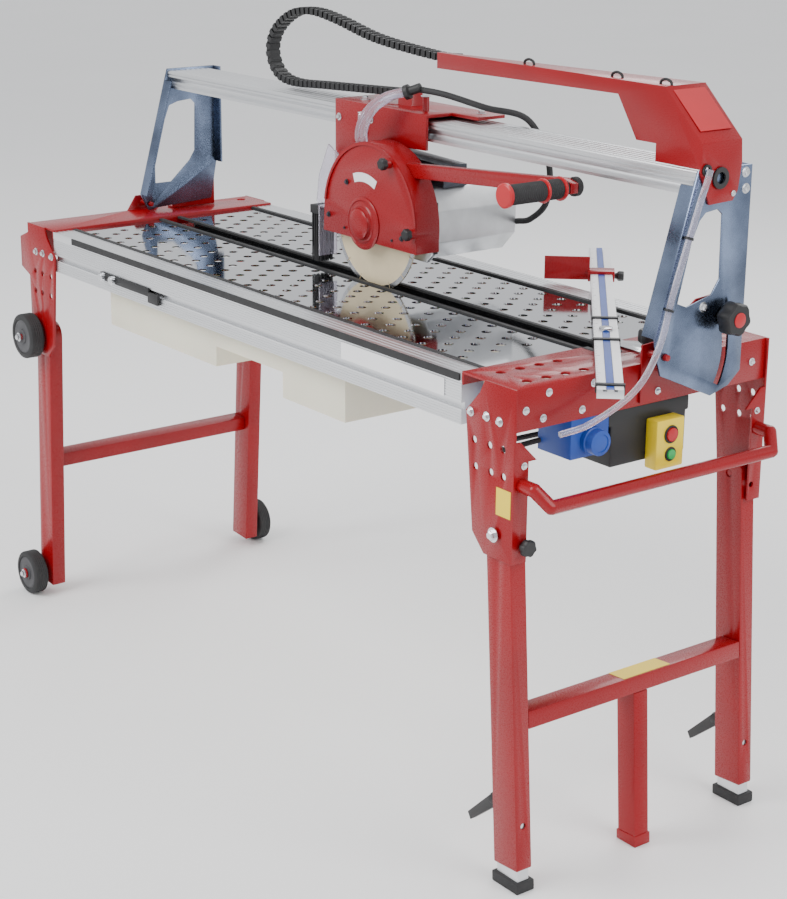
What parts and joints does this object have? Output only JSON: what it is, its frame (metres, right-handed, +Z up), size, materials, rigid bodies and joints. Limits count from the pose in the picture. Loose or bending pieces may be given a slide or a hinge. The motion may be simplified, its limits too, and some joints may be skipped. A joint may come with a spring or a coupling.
{
  "type": "tile cutter",
  "caption": "Bridge wet tile saw on folding legs, with a tilting rail, sliding motor head, perforated table, water tray, angle ruler and transport wheels.",
  "frame": {"origin": "on the floor, under the middle of the outer size", "axes": "+X along the table to the end with the switch, -Y the operator side, +Z up"},
  "size_m": [1.7374, 0.7888, 1.2625],
  "materials": {
    "red_paint": "gloss",
    "black_plastic": "matte",
    "polished_steel": "polished",
    "satin_aluminium": "satin",
    "zinc_plate": "satin",
    "cream_plastic": "matte",
    "clear_plastic": "gloss",
    "blue_plastic": "satin",
    "yellow_plastic": "satin",
    "green_plastic": "gloss",
    "red_plastic": "gloss",
    "grey_rubber": "matte",
    "black_rubber": "matte",
    "ivory_steel": "satin"
  },
  "bodies": {
    "frame": {"front_rail": "satin_aluminium", "rear_rail": "satin_aluminium", "front_panel": "polished_steel", "rear_panel": "polished_steel", "left_end_beam": "red_paint", "right_end_plate": "red_paint", "water_tray": "cream_plastic", "pump": "black_plastic", "bracket_right_front": "red_paint", "bracket_right_rear": "red_paint", "bracket_left_front": "red_paint", "bracket_left_rear": "red_paint", "control_box": "black_plastic", "switch_housing": "yellow_plastic", "power_inlet": "blue_plastic", "lift_handle": "red_paint", "left_tilt_quadrant": "red_paint", "right_tilt_quadrant": "red_paint", "protractor": "polished_steel"},
    "right_legs": {"right_front_post": "red_paint", "right_rear_post": "red_paint", "right_crossbar": "red_paint", "right_centre_leg": "red_paint"},
    "left_legs": {"left_front_post": "red_paint", "left_rear_post": "red_paint", "left_crossbar": "red_paint"},
    "front_foot": {"right_front_foot": "satin_aluminium"},
    "rear_foot": {"right_rear_foot": "satin_aluminium"},
    "front_foot_lever": {"right_front_foot_lever": "black_plastic"},
    "rear_foot_lever": {"right_rear_foot_lever": "black_plastic"},
    "leg_lock": {"right_front_lock": "black_plastic"},
    "low_front_wheel": {"wheel_low_front": "grey_rubber"},
    "low_rear_wheel": {"wheel_low_rear": "grey_rubber"},
    "high_front_wheel": {"wheel_high_front": "grey_rubber"},
    "high_rear_wheel": {"wheel_high_rear": "grey_rubber"},
    "stop_button": {"stop_button": "red_plastic"},
    "start_button": {"start_button": "green_plastic"},
    "tilt_knob": {"right_tilt_knob": "black_plastic"},
    "bridge": {"left_upright": "zinc_plate", "right_upright": "zinc_plate", "bridge_rail": "satin_aluminium", "cable_arm": "red_paint", "supply_hose": "clear_plastic"},
    "carriage": {"carriage_body": "red_paint", "carriage_rollers": "polished_steel", "drag_chain": "black_plastic"},
    "head": {"head_arm": "black_plastic", "motor": "satin_aluminium", "blade_guard": "red_paint", "handle_bar": "red_paint", "handle_grip": "black_rubber", "return_spring": "polished_steel", "splash_guard": "clear_plastic", "brush": "black_rubber"},
    "blade": {"blade": "ivory_steel", "blade_flange": "polished_steel"},
    "ruler": {"ruler_bar": "satin_aluminium"},
    "gauge_knob": {"gauge_knob": "black_plastic"},
    "stop_arm": {"stop_arm": "red_paint"},
    "stop_knob": {"stop_knob": "black_plastic"}
  },
  "joints": [
    {"name": "right_leg_fold", "type": "hinge", "parent": "frame", "child": "right_legs", "pos_m": [0.69879, -0.08713, 0.58], "axis": [0, 1, 0], "range_deg": [0, 94]},
    {"name": "left_leg_fold", "type": "hinge", "parent": "frame", "child": "left_legs", "pos_m": [-0.76721, -0.08713, 0.58], "axis": [0, -1, 0], "range_deg": [0, 94]},
    {"name": "front_foot_slide", "type": "slide", "parent": "right_legs", "child": "front_foot", "axis": [0.0698, 0, -0.9976], "range_m": [-0.015, 0.08]},
    {"name": "rear_foot_slide", "type": "slide", "parent": "right_legs", "child": "rear_foot", "axis": [0.0698, 0, -0.9976], "range_m": [-0.015, 0.08]},
    {"name": "front_foot_lever_turn", "type": "hinge", "parent": "right_legs", "child": "front_foot_lever", "pos_m": [0.69712, -0.33413, 0.13079], "axis": [-0.9976, 0, -0.0698], "range_deg": [0, 90]},
    {"name": "rear_foot_lever_turn", "type": "hinge", "parent": "right_legs", "child": "rear_foot_lever", "pos_m": [0.69712, 0.15987, 0.13079], "axis": [0.9976, 0, 0.0698], "range_deg": [0, 90]},
    {"name": "leg_lock_pull", "type": "slide", "parent": "frame", "child": "leg_lock", "axis": [1, 0, 0], "range_m": [0, 0.006], "stiffness_N_per_m": 600, "springref_m": -0.004},
    {"name": "low_front_wheel_spin", "type": "hinge", "parent": "left_legs", "child": "low_front_wheel", "pos_m": [-0.82221, -0.37313, 0.0465], "axis": [0, 1, 0], "continuous": true},
    {"name": "low_rear_wheel_spin", "type": "hinge", "parent": "left_legs", "child": "low_rear_wheel", "pos_m": [-0.82221, 0.19887, 0.0465], "axis": [0, 1, 0], "continuous": true},
    {"name": "high_front_wheel_spin", "type": "hinge", "parent": "frame", "child": "high_front_wheel", "pos_m": [-0.78621, -0.37313, 0.58], "axis": [0, 1, 0], "continuous": true},
    {"name": "high_rear_wheel_spin", "type": "hinge", "parent": "frame", "child": "high_rear_wheel", "pos_m": [-0.78621, 0.19887, 0.58], "axis": [0, 1, 0], "continuous": true},
    {"name": "stop_press", "type": "slide", "parent": "frame", "child": "stop_button", "axis": [-1, 0, 0], "range_m": [0, 0.003], "stiffness_N_per_m": 400, "springref_m": -0.002},
    {"name": "start_press", "type": "slide", "parent": "frame", "child": "start_button", "axis": [-1, 0, 0], "range_m": [0, 0.003], "stiffness_N_per_m": 400, "springref_m": -0.002},
    {"name": "tilt_knob_turn", "type": "hinge", "parent": "frame", "child": "tilt_knob", "pos_m": [0.78579, 0.03155, 0.87595], "axis": [1, 0, 0], "range_deg": [0, 270]},
    {"name": "bridge_tilt", "type": "hinge", "parent": "frame", "child": "bridge", "pos_m": [-0.03421, -0.08713, 0.828], "axis": [1, 0, 0], "range_deg": [0, 45], "deforming": ["supply_hose"]},
    {"name": "carriage_slide", "type": "slide", "parent": "bridge", "child": "carriage", "axis": [1, 0, 0], "range_m": [-0.57, 0.44], "deforming": ["drag_chain"]},
    {"name": "head_lift", "type": "hinge", "parent": "carriage", "child": "head", "pos_m": [-0.10921, 0.01087, 1.012], "axis": [0, -1, 0], "range_deg": [0, 8], "deforming": ["return_spring"]},
    {"name": "blade_spin", "type": "hinge", "parent": "head", "child": "blade", "pos_m": [0.03379, -0.08713, 0.915], "axis": [0, 1, 0], "continuous": true},
    {"name": "ruler_turn", "type": "hinge", "parent": "frame", "child": "ruler", "pos_m": [0.59598, -0.04737, 0.82], "axis": [0, 0, 1], "range_deg": [-48, 0]},
    {"name": "gauge_knob_turn", "type": "hinge", "parent": "frame", "child": "gauge_knob", "pos_m": [0.68179, -0.03513, 0.83], "axis": [0, 0, 1], "range_deg": [0, 180]},
    {"name": "stop_arm_slide", "type": "slide", "parent": "ruler", "child": "stop_arm", "axis": [0.7464, -0.6655, 0], "range_m": [-0.19, 0.2]},
    {"name": "stop_knob_turn", "type": "hinge", "parent": "stop_arm", "child": "stop_knob", "pos_m": [0.30171, 0.25519, 0.8236], "axis": [0.6655, 0.7464, 0], "range_deg": [0, 180]}
  ]
}
